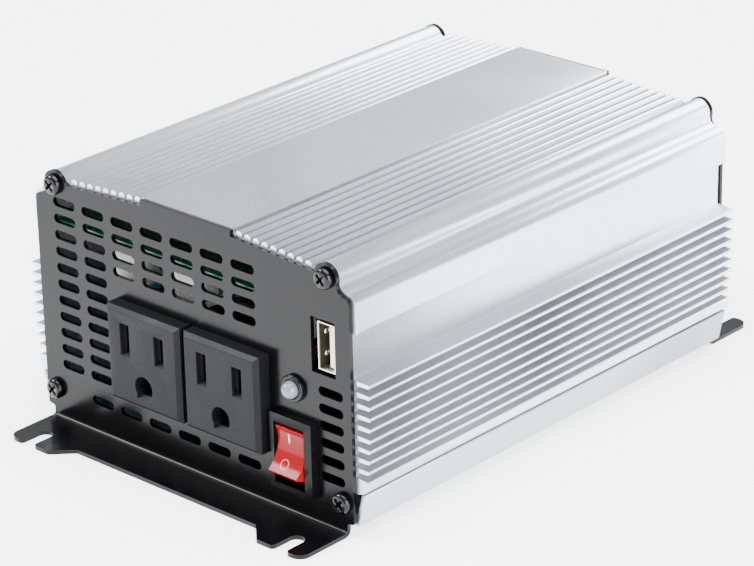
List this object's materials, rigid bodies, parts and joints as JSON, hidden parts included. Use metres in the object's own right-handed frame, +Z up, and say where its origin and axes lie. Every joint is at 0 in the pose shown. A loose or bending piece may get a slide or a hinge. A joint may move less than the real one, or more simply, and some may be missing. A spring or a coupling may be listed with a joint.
{
  "type": "power_inverter",
  "caption": "Small mains power inverter: finned aluminium case with folded steel end panels and slotted feet, mains and USB outlets, pilot light, rocker switch, fan and battery posts.",
  "frame": {"origin": "middle of the underside of the four feet, under the middle of the case", "axes": "X to the right seen from the front, Y from the front panel to the rear panel, Z up"},
  "size_m": [0.1234, 0.1868, 0.074],
  "materials": {
    "anodised_shell": "light silver satin anodised, fine bead-blasted grain",
    "tray_metal": "light silver satin anodised",
    "black_paint": "satin black powder coat",
    "black_screw": "black zinc, slightly glossy",
    "outlet_plastic": "dark grey, fine grain",
    "contact_brass": "bright stamped brass",
    "usb_metal": "bright tin plate",
    "cream_plastic": "cream",
    "board_green": "green solder mask",
    "led_plastic": "milky pale, half clear",
    "black_plastic": "black, satin",
    "rocker_red": "glossy red with white marks",
    "tinned_metal": "tinned",
    "ferrite": "dark grey ferrite",
    "winding_tape": "yellow tape",
    "can_navy": "dark blue sleeve",
    "can_teal": "teal sleeve",
    "iron_powder": "green coated ring",
    "enamel_wire": "copper enamel",
    "chip_black": "moulded black",
    "pad_grey": "grey silicone pad",
    "bar_steel": "plain",
    "fuse_plastic": "amber, half clear",
    "white_plastic": "white nylon",
    "red_sleeve": "red wire insulation",
    "white_sleeve": "white wire insulation",
    "black_sleeve": "black wire insulation",
    "post_plastic": "red or black moulded bushes",
    "post_brass": "machined brass",
    "nickel": "bright nickel plate",
    "knob_red": "red, moulded flutes",
    "knob_black": "black, moulded flutes"
  },
  "bodies": {
    "case": {"top_shell": "anodised_shell", "base_tray": "tray_metal", "front_panel": "black_paint", "rear_panel": "black_paint", "front_panel_screws": "black_screw", "rear_panel_screws": "black_screw", "tray_screws": "black_screw", "outlet_left": "outlet_plastic", "outlet_right": "outlet_plastic", "outlet_left_contacts": "contact_brass", "outlet_right_contacts": "contact_brass", "usb_shell": "usb_metal", "usb_tongue": "cream_plastic", "usb_contacts": "contact_brass", "usb_board": "board_green", "led_lens": "led_plastic", "led_bezel": "black_plastic", "switch_housing": "black_plastic", "switch_terminals": "tinned_metal", "main_board": "board_green", "transformer_cores": "ferrite", "transformer_windings": "winding_tape", "input_capacitors": "can_navy", "output_capacitor": "can_teal", "choke_core": "iron_powder", "choke_winding": "enamel_wire", "power_transistors": "chip_black", "transistor_pads": "pad_grey", "transistor_clips": "bar_steel", "clip_screws": "bar_steel", "blade_fuses": "fuse_plastic", "fuse_holders": "black_plastic", "control_chips": "chip_black", "wire_connectors": "white_plastic", "switch_leads": "red_sleeve", "outlet_leads": "white_sleeve", "led_leads": "black_sleeve", "fan_leads": "red_sleeve", "fan_frame": "black_plastic", "fan_screws": "black_screw", "fan_nuts": "bar_steel", "post_bushes": "post_plastic", "post_studs": "post_brass", "post_nuts": "nickel", "post_lugs": "tinned_metal", "red_lead": "red_sleeve", "black_lead": "black_sleeve"},
    "switch_rocker": {"switch_rocker": "rocker_red"},
    "fan_rotor": {"fan_rotor": "black_plastic"},
    "red_washer": {"red_washer": "nickel"},
    "black_washer": {"black_washer": "nickel"},
    "red_knob": {"red_knob": "knob_red"},
    "black_knob": {"black_knob": "knob_black"}
  },
  "joints": [
    {"name": "rocker_hinge", "type": "hinge", "parent": "case", "child": "switch_rocker", "pos_m": [0.03735, -0.07445, 0.0184], "axis": [1, 0, 0], "range_deg": [0, 30]},
    {"name": "fan_spin", "type": "hinge", "parent": "case", "child": "fan_rotor", "pos_m": [0.0259, 0.075, 0.0324], "axis": [0, 1, 0], "continuous": true},
    {"name": "red_knob_travel", "type": "slide", "parent": "case", "child": "red_washer", "axis": [0, 1, 0], "range_m": [0, 0.0025]},
    {"name": "red_knob_turn", "type": "hinge", "parent": "red_washer", "child": "red_knob", "pos_m": [-0.0354, 0.0815, 0.0334], "axis": [0, 1, 0], "range_deg": [0, 900]},
    {"name": "black_knob_travel", "type": "slide", "parent": "case", "child": "black_washer", "axis": [0, 1, 0], "range_m": [0, 0.0025]},
    {"name": "black_knob_turn", "type": "hinge", "parent": "black_washer", "child": "black_knob", "pos_m": [-0.0124, 0.0815, 0.0334], "axis": [0, 1, 0], "range_deg": [0, 900]}
  ],
  "couplings": [
    {"joint": "red_knob_turn", "follows": "red_knob_travel", "rad_per_m": 6283.2},
    {"joint": "black_knob_turn", "follows": "black_knob_travel", "rad_per_m": 6283.2}
  ]
}
